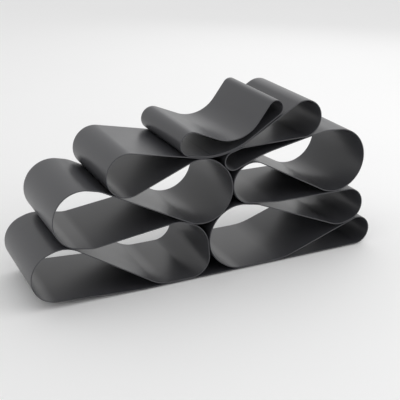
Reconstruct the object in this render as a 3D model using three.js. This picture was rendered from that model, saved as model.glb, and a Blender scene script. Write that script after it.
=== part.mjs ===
// Wine rack made of one long band of sheet steel that folds back and forth into open loops.
// The band is built from thirteen rolled strips, each one bend long, and a separate loop on top.
// Every strip ends on a line where the band touches itself, so one weld closes the butt seam
// there and ties the two layers together. Rubber pads under the band keep the steel off the shelf.
//
// Frame: +X along the rack to its right end, +Y to the back, +Z up, in millimetres.
// The origin lies under the middle of the rack, on the surface that it stands on.

import * as THREE from 'three';

// ---------------------------------------------------------------- driving dimensions

const BAND_WIDTH = 157;       // width of the steel strip, which is the rack's depth
const SHEET = 1.6;            // thickness of the steel
const CLEARANCE = 0.35;       // space left between two faces that touch
const CHORD_ERROR = 0.05;     // how far a flat facet may leave the true arc

const SEAM_GAP = 3;           // space between two strip ends that the weld fills
const SEAM_BEAD = 2.4;        // length of the weld along the band
const FILLET_RADIUS = 0.6;    // radius of the fillet weld beside two bends that touch
const FILLET_LENGTH = 120;    // it stops short of the band's edges, where it would show
const FILLET_SIDES = 10;

const PAD_RADIUS = 6;
const PAD_HEIGHT = 1.5;
const PAD_EDGE = 15;          // from a pad's middle to the edge of the band
const PAD_LEFT_X = -86;       // where the flat of the base begins, at its left end
const PAD_RIGHT_X = 258;
const PAD_SIDES = 24;

// Heights below are of the band's middle layer, over the underside of the base strip.
const LAYER = SHEET + CLEARANCE;          // from one touching layer to the next
const BASE_LAYER = SHEET / 2;
const SECOND_LAYER = BASE_LAYER + LAYER;  // the strips that lie on the base strip

// ---------------------------------------------------------------- the bends

// A bend is a round stretch of the band: the middle of its roll, its radius, and the way the
// band turns there, seen from the front. The straight runs are the common tangents between them.
const LEFT = 1;
const RIGHT = -1;
const bend = (x, z, radius, turn) => ({ x, z, radius, turn });
const bendOn = (layer, x, radius, turn) => bend(x, layer + radius, radius, turn);

// Rolls that other pieces rest on or are welded to.
const LEFT_END = bend(-257, 50.5, 40.5, RIGHT);
const LOWER_MIDDLE = bend(-56, 52.5, 45.2, LEFT);
const CENTRE = bend(-20, 144, 51, LEFT);
const SADDLE = bend(-6, 331, 131, LEFT);
const SMALL_INNER = bend(32.5, 188, 15, LEFT);
const MIDDLE_RIGHT = bend(67, 146.5, 34, LEFT);
const MIDDLE_BOTTLE = bend(44.5, 60, 53, LEFT);
const RIGHT_END = bendOn(BASE_LAYER, 272, 24.6, RIGHT);

// The long band as its strips, in the order in which it runs: from the base to the left, and
// then upwards. Each strip has its bends and the place where it ends, which is on its last
// bend or just after it, on the line where the band touches itself.
const STRIPS = [
  {
    name: 'lower_left_loop',
    bends: [bendOn(BASE_LAYER, -101, 700, RIGHT), LEFT_END, bend(-249, 47, 46.5, RIGHT)],
    ends: [-232, 90],
  },
  {
    name: 'lower_middle_loop',
    bends: [
      bendOn(SECOND_LAYER, -78, 55, LEFT),
      bendOn(SECOND_LAYER, -40, 31, LEFT),
      LOWER_MIDDLE,
      bend(-66, 59.4, 43, LEFT),
    ],
    ends: [-49, 99],
  },
  {
    name: 'left_bottle_loop',
    bends: [bend(-198, 128, 42, RIGHT), bend(-215, 134.4, 45.2, RIGHT), bend(-208, 118.5, 59, RIGHT)],
    ends: [-158, 159],
  },
  {
    name: 'centre_loop',
    bends: [CENTRE, bend(-24, 147, 51.8, LEFT)],
    ends: [-19, 199],
  },
  {
    name: 'upper_left_loop',
    bends: [bend(-142, 191.2, 34, RIGHT), SADDLE],
    ends: [-6, 200],
  },
  {
    name: 'upper_right_loop',
    bends: [bend(158, 239.5, 30, RIGHT), bend(48, 192, 15.5, LEFT)],
    ends: [36, 204.5],
  },
  {
    name: 'small_inner_loop',
    bends: [SMALL_INNER, bend(155, -48.7, 250, RIGHT)],
    ends: [163, 208],
  },
  {
    name: 'right_bottle_loop',
    bends: [bend(204, 151, 63.5, RIGHT), bend(223, 160, 53, RIGHT), MIDDLE_RIGHT],
    ends: [54, 178],
  },
  {
    name: 'middle_right_loop',
    bends: [bend(124, 256, 150, LEFT)],
    ends: [222, 105],
  },
  {
    name: 'side_loop',
    bends: [bend(250.3, 76.2, 28.4, RIGHT), bend(237.2, 86.4, 41.8, RIGHT), bend(60, 50, 60, LEFT)],
    ends: [61, 110],
  },
  {
    name: 'middle_bottle_loop',
    bends: [
      MIDDLE_BOTTLE,
      bendOn(SECOND_LAYER, 50, 52, LEFT),
      bendOn(SECOND_LAYER, 112, 106, LEFT),
    ],
    ends: [258, 47],
  },
  { name: 'lower_right_loop', bends: [RIGHT_END], ends: [81, BASE_LAYER] },
  { name: 'base_strip', bends: [], ends: [-59, BASE_LAYER] },
];

// The separate loop on top, from its low left end over its hollow to its high right end. Its
// underside is rolled to the saddle that it lies in.
const TOP_LOOP_BENDS = [
  bend(-39, 225.2, 18.6, RIGHT),
  bend(28, 280, 58, LEFT),
  bend(104, 263, 13, RIGHT),
  bend(SADDLE.x, SADDLE.z, SADDLE.radius - LAYER, RIGHT),
];

// Pairs of bends that stand side by side and touch, and the wedges beside the line of touch that
// hold a fillet weld.
const ABOVE = 1;
const BELOW = -1;
const FILLET_PAIRS = [
  { name: 'lower_to_bottle_loop', first: LOWER_MIDDLE, second: MIDDLE_BOTTLE, wedges: [ABOVE] },
  { name: 'centre_to_bottle_loop', first: CENTRE, second: MIDDLE_BOTTLE, wedges: [BELOW, ABOVE] },
  { name: 'centre_to_right_loop', first: CENTRE, second: MIDDLE_RIGHT, wedges: [BELOW, ABOVE] },
  { name: 'centre_to_small_loop', first: CENTRE, second: SMALL_INNER, wedges: [BELOW, ABOVE] },
];

// ---------------------------------------------------------------- the path of a band

// The straight run that leaves one bend and reaches the next, with the side it turns on.
function tangentBetween(from, to) {
  const dx = to.x - from.x;
  const dz = to.z - from.z;
  const length = Math.hypot(dx, dz);
  const rise = Math.asin((to.turn * to.radius - from.turn * from.radius) / length);
  const heading = Math.atan2(dz, dx) - rise;
  const side = heading + Math.PI / 2;
  const touch = (b) => [
    b.x - b.turn * b.radius * Math.cos(side),
    b.z - b.turn * b.radius * Math.sin(side),
  ];
  return { heading, start: touch(from), end: touch(to) };
}

// A closed band as a list of points on its middle layer, each with the direction across the
// sheet and its distance along the band.
function bandPath(bends) {
  const runs = bends.map((b, i) => tangentBetween(b, bends[(i + 1) % bends.length]));
  const points = [];
  bends.forEach((b, i) => {
    const before = runs[(i + bends.length - 1) % bends.length];
    const after = runs[i];
    const swept = THREE.MathUtils.euclideanModulo(
      b.turn * (after.heading - before.heading), 2 * Math.PI);
    const facet = 2 * Math.acos(1 - CHORD_ERROR / b.radius);
    const count = Math.ceil(swept / facet);
    for (let k = 0; k <= count; k += 1) {
      const side = before.heading + b.turn * swept * k / count + Math.PI / 2;
      const across = [Math.cos(side), Math.sin(side)];
      points.push({
        x: b.x - b.turn * b.radius * across[0],
        z: b.z - b.turn * b.radius * across[1],
        across,
        bend: i,
      });
    }
  });
  let travelled = 0;
  points.forEach((p, i) => {
    const previous = points[Math.max(i - 1, 0)];
    travelled += Math.hypot(p.x - previous.x, p.z - previous.z);
    p.at = travelled;
  });
  const last = points[points.length - 1];
  const length = travelled + Math.hypot(points[0].x - last.x, points[0].z - last.z);
  const again = points.map((p) => ({ ...p, at: p.at + length }));
  return { points: [...points, ...again], length };
}

// The point at a distance along the band, part-way between its neighbours.
function pointAt(path, at) {
  const next = path.points.findIndex((p) => p.at > at);
  const a = path.points[next - 1];
  const b = path.points[next];
  const t = (at - a.at) / (b.at - a.at);
  const mix = (from, to) => from + t * (to - from);
  const across = [mix(a.across[0], b.across[0]), mix(a.across[1], b.across[1])];
  return { x: mix(a.x, b.x), z: mix(a.z, b.z), across, at };
}

// The distance along the band of the place nearest to a given one, on one bend or on the
// straight run after it.
function nearestOn(path, bendIndex, [x, z]) {
  const step = 0.25;
  const first = path.points.findIndex((p) => p.bend === bendIndex);
  const next = path.points.findIndex((p, i) => i > first && p.bend !== bendIndex);
  let best = 0;
  let bestDistance = Infinity;
  for (let at = path.points[first].at; at < path.points[next].at; at += step) {
    const p = pointAt(path, at);
    const distance = Math.hypot(p.x - x, p.z - z);
    if (distance < bestDistance) {
      best = at;
      bestDistance = distance;
    }
  }
  return best;
}

// ---------------------------------------------------------------- solids

const steel = () => new THREE.MeshStandardMaterial({ color: 0x4d4d50, roughness: 0.5, metalness: 0.2 });
const rubber = () => new THREE.MeshStandardMaterial({ color: 0x151515, roughness: 0.9, metalness: 0 });

// An outline drawn in x and z, drawn out from front to back about y = 0.
function extrudeAcross(outline, width) {
  const shape = new THREE.Shape(outline.map(([x, z]) => new THREE.Vector2(x, z)));
  const geometry = new THREE.ExtrudeGeometry(shape, { depth: width, bevelEnabled: false });
  geometry.translate(0, 0, -width / 2);
  geometry.rotateX(Math.PI / 2);
  return geometry;
}

// The stretch of sheet between two distances along a band.
function stripGeometry(path, from, to) {
  const between = path.points.filter((p) => p.at > from + 0.01 && p.at < to - 0.01);
  const middle = [pointAt(path, from), ...between, pointAt(path, to)];
  const face = (p, offset) => [p.x + offset * p.across[0], p.z + offset * p.across[1]];
  const upper = middle.map((p) => face(p, SHEET / 2));
  const lower = middle.map((p) => face(p, -SHEET / 2)).reverse();
  return extrudeAcross([...lower, ...upper], BAND_WIDTH);
}

// A fillet weld in one of the two narrow wedges beside the line where two bends touch. Its
// middle lies as far from each roll's middle as the roll, half the sheet and its own radius.
function filletGeometry(first, second, side) {
  const reach = SHEET / 2 + FILLET_RADIUS + CLEARANCE;
  const toFirst = first.radius + reach;
  const toSecond = second.radius + reach;
  const apart = Math.hypot(second.x - first.x, second.z - first.z);
  const along = (apart ** 2 + toFirst ** 2 - toSecond ** 2) / (2 * apart);
  const aside = side * Math.sqrt(toFirst ** 2 - along ** 2);
  const ux = (second.x - first.x) / apart;
  const uz = (second.z - first.z) / apart;
  const bead = new THREE.CylinderGeometry(FILLET_RADIUS, FILLET_RADIUS, FILLET_LENGTH, FILLET_SIDES);
  bead.translate(first.x + along * ux - aside * uz, 0, first.z + along * uz + aside * ux);
  return bead;
}

// A round rubber pad, standing on z = 0.
function padGeometry(x, y) {
  const geometry = new THREE.CylinderGeometry(PAD_RADIUS, PAD_RADIUS, PAD_HEIGHT, PAD_SIDES);
  geometry.rotateX(Math.PI / 2);
  geometry.translate(x, y, PAD_HEIGHT / 2);
  return geometry;
}

// ---------------------------------------------------------------- the rack

function addPiece(parent, name, geometry, material) {
  const mesh = new THREE.Mesh(geometry, material);
  mesh.name = name;
  parent.add(mesh);
}

const rack = new THREE.Group();
rack.position.x = -(LEFT_END.x - LEFT_END.radius + RIGHT_END.x + RIGHT_END.radius) / 2;

// Everything of steel stands on the pads.
const steelwork = new THREE.Group();
steelwork.position.z = PAD_HEIGHT + CLEARANCE;
rack.add(steelwork);

const band = bandPath(STRIPS.flatMap((strip) => strip.bends));
let bendsSoFar = 0;
const seams = STRIPS.map((strip) => {
  bendsSoFar += strip.bends.length;
  return nearestOn(band, bendsSoFar - 1, strip.ends);
});
STRIPS.forEach((strip, i) => {
  const from = seams[(i + seams.length - 1) % seams.length];
  const to = seams[i] > from ? seams[i] : seams[i] + band.length;
  const sheet = stripGeometry(band, from + SEAM_GAP / 2, to - SEAM_GAP / 2);
  addPiece(steelwork, strip.name, sheet, steel());
  const bead = stripGeometry(band, seams[i] - SEAM_BEAD / 2, seams[i] + SEAM_BEAD / 2);
  addPiece(steelwork, `seam_weld_after_${strip.name}`, bead, steel());
});

// The top loop is one strip, closed by a weld where it rests on the saddle.
const topLoop = bandPath(TOP_LOOP_BENDS);
const lastBend = TOP_LOOP_BENDS.length - 1;
const topSeam = nearestOn(topLoop, lastBend, [SADDLE.x, SADDLE.z - SADDLE.radius]);
addPiece(steelwork, 'top_loop',
  stripGeometry(topLoop, topSeam + SEAM_GAP / 2, topSeam + topLoop.length - SEAM_GAP / 2), steel());
addPiece(steelwork, 'seam_weld_of_top_loop',
  stripGeometry(topLoop, topSeam - SEAM_BEAD / 2, topSeam + SEAM_BEAD / 2), steel());

for (const pair of FILLET_PAIRS) {
  for (const wedge of pair.wedges) {
    const bead = filletGeometry(pair.first, pair.second, wedge);
    const place = wedge === ABOVE ? 'above' : 'below';
    addPiece(steelwork, `fillet_weld_${pair.name}_${place}`, bead, steel());
  }
}

const padY = BAND_WIDTH / 2 - PAD_EDGE;
for (const [end, x] of [['left', PAD_LEFT_X], ['right', PAD_RIGHT_X]]) {
  for (const [side, y] of [['front', -padY], ['rear', padY]]) {
    addPiece(rack, `foot_pad_${side}_${end}`, padGeometry(x, y), rubber());
  }
}

export default rack;
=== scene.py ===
from collections import namedtuple
from math import acos, asin, atan2, ceil, cos, pi, radians, sin

import bmesh
import bpy
from mathutils import Matrix, Vector


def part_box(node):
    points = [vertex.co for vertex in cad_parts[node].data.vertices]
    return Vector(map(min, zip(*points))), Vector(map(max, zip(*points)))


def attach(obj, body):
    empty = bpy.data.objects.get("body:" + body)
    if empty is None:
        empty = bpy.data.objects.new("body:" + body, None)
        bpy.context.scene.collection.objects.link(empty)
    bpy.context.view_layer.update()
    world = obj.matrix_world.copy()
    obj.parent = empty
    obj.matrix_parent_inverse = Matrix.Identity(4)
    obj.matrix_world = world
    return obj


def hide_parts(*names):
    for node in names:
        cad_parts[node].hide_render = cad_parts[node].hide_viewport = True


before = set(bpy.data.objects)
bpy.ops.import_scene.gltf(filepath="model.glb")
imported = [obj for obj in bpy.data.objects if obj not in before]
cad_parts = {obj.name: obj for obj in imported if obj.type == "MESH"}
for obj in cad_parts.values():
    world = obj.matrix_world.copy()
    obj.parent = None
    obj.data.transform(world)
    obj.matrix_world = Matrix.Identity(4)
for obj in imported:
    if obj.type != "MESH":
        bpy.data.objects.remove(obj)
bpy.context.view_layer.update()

scene = bpy.context.scene


# ------------------------------------------------------------------ the long band
# One band of sheet steel, which runs from the base round every loop and back to the base. It is
# thirteen strips of cold-rolled sheet with deburred edges. Each is rolled to its own loop, and
# the strips are then welded end to end and powder coated charcoal as one piece.

base_low, base_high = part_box("base_strip")
SHEET = base_high.z - base_low.z
BAND_WIDTH = base_high.y - base_low.y
UNDERSIDE = base_low.z
FIT = 0.00035                 # what is left between two layers that lie on each other
EDGE_ROUND = 0.0005           # radius of the deburred edges of the sheet
EDGE_ROUND_STEPS = 4
EDGE_LOOP = 0.0015            # a loop this far from the edge keeps the broad faces flat
ROLL_ERROR = 0.00001          # how far a facet may leave the true roll
SEAM_BEAD = 0.0024            # length along the band of the weld between two strips
SEAM_SEARCH = 0.0001

LEFT = 1                      # the way the band turns on a roll, seen from the front
RIGHT = -1
ACROSS = (0, -1, 0)           # a turn to the left is a positive turn about this axis

Roll = namedtuple("Roll", "x z radius turn")
Leg = namedtuple("Leg", "start length roll heading place")


def roll_on(layer, x, radius, turn):
    """A roll whose underside lies on the base strip or on the layer above it."""
    height = SHEET / 2 + layer * (SHEET + FIT)
    return Roll(x, height + radius, radius, turn)


# The rolls of each strip, in metres from the datum line in front of the rack's middle and up
# from the underside of the base strip.
SADDLE = Roll(-0.006, 0.331, 0.131, LEFT)
LEFT_END = Roll(-0.257, 0.0505, 0.0405, RIGHT)
RIGHT_END = roll_on(0, 0.272, 0.0246, RIGHT)
STRIPS = {
    "lower_left_loop": [
        roll_on(0, -0.101, 0.700, RIGHT),
        LEFT_END,
        Roll(-0.249, 0.047, 0.0465, RIGHT),
    ],
    "lower_middle_loop": [
        roll_on(1, -0.078, 0.055, LEFT),
        roll_on(1, -0.040, 0.031, LEFT),
        Roll(-0.056, 0.0525, 0.0452, LEFT),
        Roll(-0.066, 0.0594, 0.043, LEFT),
    ],
    "left_bottle_loop": [
        Roll(-0.198, 0.128, 0.042, RIGHT),
        Roll(-0.215, 0.1344, 0.0452, RIGHT),
        Roll(-0.208, 0.1185, 0.059, RIGHT),
    ],
    "centre_loop": [Roll(-0.020, 0.144, 0.051, LEFT), Roll(-0.024, 0.147, 0.0518, LEFT)],
    "upper_left_loop": [Roll(-0.142, 0.1912, 0.034, RIGHT), SADDLE],
    "upper_right_loop": [Roll(0.158, 0.2395, 0.030, RIGHT), Roll(0.048, 0.192, 0.0155, LEFT)],
    "small_inner_loop": [Roll(0.0325, 0.188, 0.015, LEFT), Roll(0.155, -0.0487, 0.250, RIGHT)],
    "right_bottle_loop": [
        Roll(0.204, 0.151, 0.0635, RIGHT),
        Roll(0.223, 0.160, 0.053, RIGHT),
        Roll(0.067, 0.1465, 0.034, LEFT),
    ],
    "middle_right_loop": [Roll(0.124, 0.256, 0.150, LEFT)],
    "side_loop": [
        Roll(0.2503, 0.0762, 0.0284, RIGHT),
        Roll(0.2372, 0.0864, 0.0418, RIGHT),
        Roll(0.060, 0.050, 0.060, LEFT),
    ],
    "middle_bottle_loop": [
        Roll(0.0445, 0.060, 0.053, LEFT),
        roll_on(1, 0.050, 0.052, LEFT),
        roll_on(1, 0.112, 0.106, LEFT),
    ],
    "lower_right_loop": [RIGHT_END],
    "base_strip": [],
}
DATUM_X = -(LEFT_END.x - LEFT_END.radius + RIGHT_END.x + RIGHT_END.radius) / 2


def on_roll(roll, heading):
    """Where the band lies on a roll when it runs in a given direction."""
    side = heading + pi / 2
    return Vector((roll.x, 0, roll.z)) - roll.turn * roll.radius * Vector((cos(side), 0, sin(side)))


def legs_round(rolls):
    """A closed band as its legs in order: each roll, then the straight run to the next roll."""
    headings = []
    for here, following in zip(rolls, rolls[1:] + rolls[:1]):
        dx = following.x - here.x
        dz = following.z - here.z
        rise = following.turn * following.radius - here.turn * here.radius
        headings.append(atan2(dz, dx) - asin(rise / (dx * dx + dz * dz) ** 0.5))
    legs = []
    start = 0
    for i, roll in enumerate(rolls):
        heading = headings[i - 1]
        leaving = headings[i]
        length = roll.turn * (leaving - heading) % (2 * pi) * roll.radius
        legs.append(Leg(start, length, roll, heading, on_roll(roll, heading)))
        start += length
        place = on_roll(roll, leaving)
        length = (on_roll(rolls[(i + 1) % len(rolls)], leaving) - place).length
        legs.append(Leg(start, length, None, leaving, place))
        start += length
    return legs


def pose_on(legs, at):
    """Place and direction of the band at a distance along it."""
    leg = [leg for leg in legs if leg.start <= at][-1]
    gone = at - leg.start
    if leg.roll:
        heading = leg.heading + leg.roll.turn * gone / leg.roll.radius
        return on_roll(leg.roll, heading), heading
    ahead = Vector((cos(leg.heading), 0, sin(leg.heading)))
    return leg.place + gone * ahead, leg.heading


def seam_at(legs, roll_number, weld):
    """Distance along the band of a weld, on one roll or on the straight run after it."""
    low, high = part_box(weld)
    place = (low + high) / 2 - Vector((DATUM_X, 0, UNDERSIDE))
    first, last = legs[2 * roll_number:2 * roll_number + 2]
    steps = int((last.start + last.length - first.start) / SEAM_SEARCH)
    along = [first.start + k * SEAM_SEARCH for k in range(steps)]
    return min(along, key=lambda at: (pose_on(legs, at)[0] - place).length)


def turned_to(heading):
    """Turns a section, drawn with its thickness along X, to stand across the band."""
    return Matrix.Rotation(heading + pi / 2, 3, ACROSS)


def rolled_strip(legs, start, end):
    """The sheet between two distances: its section led round the rolls and along the straights."""
    bm = bmesh.new()
    bmesh.ops.create_grid(bm, x_segments=1, y_segments=1, size=0.5)
    bmesh.ops.scale(bm, verts=bm.verts[:], vec=(SHEET, BAND_WIDTH, 1))
    bmesh.ops.bevel(bm, geom=bm.verts[:], offset=EDGE_ROUND, segments=EDGE_ROUND_STEPS,
                    profile=0.5, affect="VERTICES", material=-1)
    for side in (-1, 1):
        bmesh.ops.bisect_plane(bm, geom=bm.verts[:] + bm.edges[:] + bm.faces[:],
                               plane_co=(0, side * (BAND_WIDTH / 2 - EDGE_LOOP), 0), plane_no=(0, 1, 0))
    place, heading = pose_on(legs, start)
    bmesh.ops.rotate(bm, verts=bm.verts[:], matrix=turned_to(heading))
    bmesh.ops.translate(bm, verts=bm.verts[:], vec=place)
    front = bm.verts[:] + bm.edges[:] + bm.faces[:]
    whole = legs[-1].start + legs[-1].length
    twice_round = [(leg, lap) for lap in (0, whole) for leg in legs]
    for leg, lap in twice_round:
        length = min(end, lap + leg.start + leg.length) - max(start, lap + leg.start)
        if length <= 0:
            continue
        if leg.roll:
            roll = leg.roll
            facet = 2 * acos(1 - ROLL_ERROR / roll.radius)
            front = bmesh.ops.spin(bm, geom=front, cent=(roll.x, 0, roll.z), axis=ACROSS,
                                   angle=roll.turn * length / roll.radius,
                                   steps=ceil(length / roll.radius / facet))["geom_last"]
        else:
            front = bmesh.ops.extrude_face_region(bm, geom=front)["geom"]
            moved = [part for part in front if isinstance(part, bmesh.types.BMVert)]
            ahead = length * Vector((cos(leg.heading), 0, sin(leg.heading)))
            bmesh.ops.translate(bm, verts=moved, vec=ahead)
    return bm


class Shade:
    """A socket of a material. Sums and products of shades add Math nodes."""

    def __init__(self, tree, socket=None):
        self.tree = tree
        self.socket = socket

    def node(self, kind, settings, sockets, output=0):
        made = self.tree.nodes.new(kind)
        for name, value in settings.items():
            setattr(made, name, value)
        for name, value in sockets.items():
            if isinstance(value, Shade):
                self.tree.links.new(value.socket, made.inputs[name])
            else:
                made.inputs[name].default_value = value
        return Shade(self.tree, made.outputs[output] if made.outputs else None)

    def math(self, operation, first, second):
        return self.node("ShaderNodeMath", {"operation": operation}, {0: first, 1: second})

    def __add__(self, other):
        return self.math("ADD", self, other)

    def __sub__(self, other):
        return self.math("SUBTRACT", self, other)

    def __rsub__(self, other):
        return self.math("SUBTRACT", other, self)

    def __mul__(self, other):
        return self.math("MULTIPLY", self, other)

    __radd__ = __add__
    __rmul__ = __mul__

    def noise(self, place, size, detail=2.0, roughness=0.5):
        """Noise from 0 to 1 whose features are about one size across, in metres."""
        return self.node("ShaderNodeTexNoise", {}, {
            "Vector": place, "Scale": 1 / size, "Detail": detail, "Roughness": roughness})

    def ramp(self, value, low, high):
        """0 below one value and 1 above another, with a smooth step between them."""
        return self.node("ShaderNodeMapRange", {"interpolation_type": "SMOOTHSTEP"}, {
            "Value": value, "From Min": low, "From Max": high})

    def blend(self, share, first, second):
        """One colour where the share is 0 and the other where it is 1."""
        return self.node("ShaderNodeMix", {"data_type": "RGBA"}, {
            0: share, 6: first, 7: second}, output=2)


def new_material(name):
    material = bpy.data.materials.new(name)
    material.use_nodes = True
    material.node_tree.nodes.clear()
    return material, Shade(material.node_tree)


def surface(shade, settings):
    """Ends a material with one Principled surface."""
    principled = shade.node("ShaderNodeBsdfPrincipled", {}, settings)
    shade.node("ShaderNodeOutputMaterial", {}, {"Surface": principled})


CHARCOAL = (0.0375, 0.0380, 0.0425, 1)
CHARCOAL_THIN = (0.0470, 0.0476, 0.0530, 1)   # where the coat is thinner
CHARCOAL_EDGE_HIGHLIGHT = (0.0540, 0.0545, 0.0600, 1)   # painted highlight along the sheet's edges, lighter as if they caught the light
COAT_CLOUD = 0.045            # size of the slow changes of the coat's thickness
COAT_PEEL = 0.0016            # size of its orange peel
COAT_GRAIN = 0.00035          # size of its fine matt grain
COAT_RELIEF = 0.00006         # height of peel and grain together
CLOUD_SHARE = 0.6             # how much of the colour's change is slow, and the rest is grain
PEEL_SHARE = 0.6              # how much of the relief is peel, and the rest is grain
CLOUD_SHEEN = 0.06            # how far the roughness follows each of them
GRAIN_SHEEN = 0.05
EDGE_HIGHLIGHT_DULL = 0.15            # how much rougher the edges under the painted highlight are
EDGE_HIGHLIGHT_LEAST = 0.6            # share of the painted edge highlight that is there all along the edge
EDGE_HIGHLIGHT_PATCH = 0.012          # size of the patches where it is stronger
EDGE_BAND = 0.0007            # how far the painted edge highlight reaches in from the edge of the sheet


def powder_coat(name, roughness, relief):
    """Satin charcoal powder coat, a little thinner in places, with a painted highlight along the
    sheet's edges.
    """
    material, shade = new_material(name)
    place = shade.node("ShaderNodeTexCoord", {}, {}, output="Object")
    cloud = shade.noise(place, COAT_CLOUD)
    peel = shade.noise(place, COAT_PEEL, detail=1.0)
    grain = shade.noise(place, COAT_GRAIN, detail=3.0, roughness=0.6)
    depth = shade.node("ShaderNodeSeparateXYZ", {}, {"Vector": place}, output="Y")
    reach = shade.node("ShaderNodeMath", {"operation": "ABSOLUTE"}, {0: depth})
    edge = shade.ramp(reach, BAND_WIDTH / 2 - EDGE_BAND, BAND_WIDTH / 2)
    # Painted highlight: the band along the sheet's edges is lightened in colour as if it caught the
    # light, more in patches.
    patch = shade.ramp(shade.noise(place, EDGE_HIGHLIGHT_PATCH), 0.4, 0.6)
    edge_highlight = edge * (EDGE_HIGHLIGHT_LEAST + (1 - EDGE_HIGHLIGHT_LEAST) * patch)
    thin = CLOUD_SHARE * cloud + (1 - CLOUD_SHARE) * grain
    coat = shade.blend(thin, CHARCOAL, CHARCOAL_THIN)
    height = PEEL_SHARE * peel + (1 - PEEL_SHARE) * grain
    bump = shade.node("ShaderNodeBump", {}, {"Strength": 1.0, "Distance": relief, "Height": height})
    surface(shade, {
        # the painted edge highlight is mixed into the base colour here
        "Base Color": shade.blend(edge_highlight, coat, CHARCOAL_EDGE_HIGHLIGHT),
        "Roughness": roughness + CLOUD_SHEEN * (cloud - 0.5) + GRAIN_SHEEN * (grain - 0.5)
        + EDGE_HIGHLIGHT_DULL * edge_highlight,
        "Normal": bump,
    })
    return material


band_coat = powder_coat("charcoal_powder_coat", roughness=0.335, relief=COAT_RELIEF)


SHARP = radians(40)           # folds over this angle stay crisp


def finished(bm, name, material, node):
    """Puts a piece in the rack in place of its CAD node, with its faces pointing out."""
    bmesh.ops.recalc_face_normals(bm, faces=bm.faces[:])
    mesh = bpy.data.meshes.new(name)
    bm.to_mesh(mesh)
    bm.free()
    mesh.shade_smooth()
    mesh.set_sharp_from_angle(angle=SHARP)
    mesh.materials.append(material)
    piece = bpy.data.objects.new(name, mesh)
    scene.collection.objects.link(piece)
    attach(piece, "root")
    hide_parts(node)


def in_the_rack(bm):
    """Moves a piece from the drawing of the band to the band's place in the rack."""
    bmesh.ops.translate(bm, verts=bm.verts[:], vec=(DATUM_X, 0, UNDERSIDE))
    return bm


band = legs_round([roll for rolls in STRIPS.values() for roll in rolls])
band_length = band[-1].start + band[-1].length
seams = {}
rolls_so_far = 0
for strip, rolls in STRIPS.items():
    rolls_so_far += len(rolls)
    seams[strip] = seam_at(band, rolls_so_far - 1, f"seam_weld_after_{strip}")

start = seams["base_strip"]
for strip, seam in seams.items():
    end = seam if seam > start else seam + band_length
    sheet = rolled_strip(band, start + SEAM_BEAD / 2, end - SEAM_BEAD / 2)
    finished(in_the_rack(sheet), f"{strip}_coated", band_coat, strip)
    start = seam


# ------------------------------------------------------------------ the loop on top
# A separate closed loop of the same sheet, which lies in the hollow of the upper loop and holds
# a bottle in its own hollow. One strip, rolled round and welded to itself where it rests.

TOP_ROLLS = [
    Roll(-0.039, 0.2252, 0.0186, RIGHT),
    Roll(0.028, 0.280, 0.058, LEFT),
    Roll(0.104, 0.263, 0.013, RIGHT),
    Roll(SADDLE.x, SADDLE.z, SADDLE.radius - SHEET - FIT, RIGHT),
]
top = legs_round(TOP_ROLLS)
top_seam = seam_at(top, len(TOP_ROLLS) - 1, "seam_weld_of_top_loop")
top_end = top_seam + top[-1].start + top[-1].length
sheet = rolled_strip(top, top_seam + SEAM_BEAD / 2, top_end - SEAM_BEAD / 2)
finished(in_the_rack(sheet), "top_loop_coated", band_coat, "top_loop")


# ------------------------------------------------------------------ the seam welds
# Butt welds that join the strips end to end, right across the band. They are ground almost
# flush before the rack is coated, and a low crown is left that only a fingertip finds.

SEAM_CROWN = 0.00004
SEAM_STEPS = 8
SQUARE = radians(60)          # folds over this angle are corners, which are rounded

seam_coat = powder_coat("coat_over_ground_weld", roughness=0.375, relief=2 * COAT_RELIEF)


def seam_bead(legs, at):
    """A crowned bead as thick as the sheet at its two sides, across the band at a distance."""
    half = SEAM_BEAD / 2
    radius = (half ** 2 + SEAM_CROWN ** 2) / (2 * SEAM_CROWN)
    bm = bmesh.new()
    corner = bmesh.ops.create_vert(bm, co=(SHEET / 2, 0, -half))["vert"]
    bmesh.ops.spin(bm, geom=corner, cent=(SHEET / 2 + SEAM_CROWN - radius, 0, 0), axis=ACROSS,
                   angle=2 * asin(half / radius), steps=SEAM_STEPS)
    bmesh.ops.mirror(bm, geom=bm.verts[:] + bm.edges[:], axis="X", merge_dist=0)
    bmesh.ops.bridge_loops(bm, edges=bm.edges[:])
    bmesh.ops.translate(bm, verts=bm.verts[:], vec=(0, -BAND_WIDTH / 2, 0))
    drawn = bmesh.ops.extrude_face_region(bm, geom=bm.verts[:] + bm.edges[:] + bm.faces[:])["geom"]
    moved = [part for part in drawn if isinstance(part, bmesh.types.BMVert)]
    bmesh.ops.translate(bm, verts=moved, vec=(0, BAND_WIDTH, 0))
    spans = [(edge, edge.verts[1].co - edge.verts[0].co) for edge in bm.edges]
    rims = [edge for edge, span in spans
            if edge.calc_face_angle(0) > SQUARE and max(abs(span.x), abs(span.y)) < SHEET / 2]
    bmesh.ops.bevel(bm, geom=rims, offset=EDGE_ROUND, segments=EDGE_ROUND_STEPS,
                    profile=0.5, affect="EDGES", material=-1)
    place, heading = pose_on(legs, at)
    bmesh.ops.rotate(bm, verts=bm.verts[:], matrix=turned_to(heading))
    bmesh.ops.translate(bm, verts=bm.verts[:], vec=place)
    return in_the_rack(bm)


for strip, seam in seams.items():
    weld = f"seam_weld_after_{strip}"
    finished(seam_bead(band, seam), f"{weld}_coated", seam_coat, weld)
finished(seam_bead(top, top_seam), "seam_weld_of_top_loop_coated", seam_coat,
         "seam_weld_of_top_loop")


# ------------------------------------------------------------------ the fillet welds
# Short thin beads laid in the wedges beside the lines where two loops stand side by side. They
# tie the loops together, and they stop short of the front and back edges, where they would show.

RIPPLE = 0.0016               # from one ripple of the bead to the next
RIPPLE_DIP = 0.88             # size of the bead between two ripples
BEAD_END = 0.6                # size of the bead where it starts and stops
BEAD_SIDES = 14
BEAD_FUSED = 0.00045          # how far the bead reaches over the gap and into the coat


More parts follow.
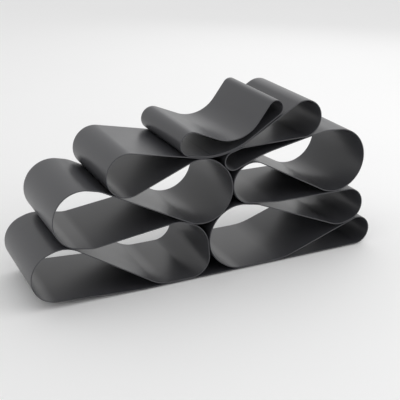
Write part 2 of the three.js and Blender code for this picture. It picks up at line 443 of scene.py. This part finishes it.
def rippled_bead(node):
    """A bead with a round front and a ripple at each step of the torch."""
    low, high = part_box(node)
    radius = (high.z - low.z) / 2 + BEAD_FUSED
    ripples = round((high.y - low.y) / RIPPLE)
    pitch = (high.y - low.y) / ripples
    swell = [BEAD_END, 1] + [1, RIPPLE_DIP] * (ripples - 1) + [1, BEAD_END]
    bm = bmesh.new()
    bmesh.ops.create_circle(bm, cap_ends=True, segments=BEAD_SIDES, radius=radius)
    bmesh.ops.rotate(bm, verts=bm.verts[:], matrix=Matrix.Rotation(radians(90), 3, "X"))
    front = bm.verts[:] + bm.edges[:] + bm.faces[:]
    bmesh.ops.scale(bm, verts=bm.verts[:], vec=(swell[0], 1, swell[0]))
    for before, after in zip(swell, swell[1:]):
        front = bmesh.ops.extrude_face_region(bm, geom=front)["geom"]
        moved = [part for part in front if isinstance(part, bmesh.types.BMVert)]
        bmesh.ops.translate(bm, verts=moved, vec=(0, pitch / 2, 0))
        bmesh.ops.scale(bm, verts=moved, vec=(after / before, 1, after / before))
    middle = (low + high) / 2
    length = pitch / 2 * (len(swell) - 1)
    bmesh.ops.translate(bm, verts=bm.verts[:], vec=(middle.x, middle.y - length / 2, middle.z))
    return bm


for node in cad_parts:
    if node.startswith("fillet_weld_"):
        finished(rippled_bead(node), f"{node}_coated", seam_coat, node)


# ------------------------------------------------------------------ the foot pads
# Four round pads of black rubber with a sticky back, pressed on under the base near its corners.
# Each has a softened rim and a shallow hollow underneath, and keeps the steel off the shelf.

PAD_RIM = 0.0004
PAD_RIM_STEPS = 4
PAD_LAND = 0.0022             # width of the ring that the pad stands on
PAD_HOLLOW = 0.0003
PAD_SIDES = 64
RUBBER = (0.012, 0.012, 0.013, 1)
RUBBER_DUSTY = (0.030, 0.030, 0.030, 1)
RUBBER_PEBBLE = 0.0006        # size of the fine pebbled grain of the mould
RUBBER_RELIEF = 0.00004
DUST_PATCH = 0.004

pad_rubber, shade = new_material("black_rubber")
place = shade.node("ShaderNodeTexCoord", {}, {}, output="Object")
pebble = shade.noise(place, RUBBER_PEBBLE, detail=3.0)
dust = shade.ramp(shade.noise(place, DUST_PATCH), 0.45, 0.75)
surface(shade, {
    "Base Color": shade.blend(dust, RUBBER, RUBBER_DUSTY),
    "Roughness": 0.72 + 0.15 * dust,
    "Normal": shade.node("ShaderNodeBump", {}, {
        "Strength": 1.0, "Distance": RUBBER_RELIEF, "Height": pebble}),
})


def foot_pad(node):
    """A pad as wide as its CAD node, which reaches up to the steel on its sticky back."""
    low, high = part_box(node)
    middle = (low + high) / 2
    radius = (high.x - low.x) / 2
    bm = bmesh.new()
    bmesh.ops.create_cone(bm, cap_ends=True, segments=PAD_SIDES, radius1=radius, radius2=radius,
                          depth=UNDERSIDE)
    underneath = [face for face in bm.faces if face.normal.z < -0.5]
    bmesh.ops.inset_region(bm, faces=underneath, thickness=PAD_LAND)
    bmesh.ops.inset_region(bm, faces=underneath, thickness=PAD_RIM, depth=-PAD_HOLLOW)
    rims = [edge for edge in bm.edges
            if edge.calc_face_angle(0) > SQUARE and edge.verts[0].co.z == edge.verts[1].co.z]
    bmesh.ops.bevel(bm, geom=rims, offset=PAD_RIM, segments=PAD_RIM_STEPS,
                    profile=0.5, affect="EDGES", material=-1)
    bmesh.ops.translate(bm, verts=bm.verts[:], vec=(middle.x, middle.y, UNDERSIDE / 2))
    return bm


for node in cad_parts:
    if node.startswith("foot_pad_"):
        finished(foot_pad(node), f"{node}_moulded", pad_rubber, node)


# ------------------------------------------------------------------ the studio
# A plain white floor that runs out of sight, a pale room and soft boxes on the rack's right.
# None of it is part of the rack.

FLOOR = 14.0
FLOOR_CLOUD = 0.5
FLOOR_WHITE = (0.94, 0.94, 0.94, 1)
FLOOR_DULLER = (0.92, 0.92, 0.92, 1)
ROOM_LIGHT = 0.8

paper, shade = new_material("white_floor")
place = shade.node("ShaderNodeTexCoord", {}, {}, output="Object")
surface(shade, {
    "Base Color": shade.blend(shade.noise(place, FLOOR_CLOUD), FLOOR_WHITE, FLOOR_DULLER),
    "Roughness": 0.9,
})
bm = bmesh.new()
bmesh.ops.create_grid(bm, x_segments=2, y_segments=2, size=FLOOR / 2)
mesh = bpy.data.meshes.new("floor")
bm.to_mesh(mesh)
bm.free()
mesh.materials.append(paper)
floor = bpy.data.objects.new("floor", mesh)
scene.collection.objects.link(floor)

room = bpy.data.worlds.new("pale_room")
room.use_nodes = True
sky = room.node_tree.nodes["Background"].inputs
sky["Color"].default_value = (1, 1, 1, 1)
sky["Strength"].default_value = ROOM_LIGHT
scene.world = room
scene.view_settings.view_transform = "Standard"

AIM = Vector((0, 0, 0.1))     # the soft boxes all point at the lower loops
SOFT_BOXES = [
    # name, place, width, height, power in watts
    ("front_right", (1.7, -1.3, 1.2), 1.8, 1.8, 12),
    ("top_right", (0.9, 0.3, 1.3), 1.2, 1.2, 2.2),
    ("back_right", (1.1, 1.3, 0.9), 1.4, 1.2, 2.0),
]
for name, place, width, height, power in SOFT_BOXES:
    light = bpy.data.lights.new(name, "AREA")
    light.shape = "RECTANGLE"
    light.size = width
    light.size_y = height
    light.energy = power
    soft_box = bpy.data.objects.new(name, light)
    soft_box.location = place
    soft_box.rotation_euler = (Vector(place) - AIM).to_track_quat("Z", "Y").to_euler()
    scene.collection.objects.link(soft_box)


# ------------------------------------------------------------------ the camera
# A long lens at the height of a person's eyes over a table, looking down on the rack's front
# from its left.

EYE = (-0.5634, -1.2081, 0.6423)
TILT = 67.94                  # degrees up from straight down
PAN = -25.46
FILM_WIDTH = 36.0             # in millimetres, as the lens
LENS = 78.84

camera = bpy.data.cameras.new("camera")
camera.sensor_width = FILM_WIDTH
camera.lens = LENS
eye = bpy.data.objects.new("camera", camera)
eye.location = EYE
eye.rotation_euler = (radians(TILT), 0, radians(PAN))
scene.collection.objects.link(eye)
scene.camera = eye
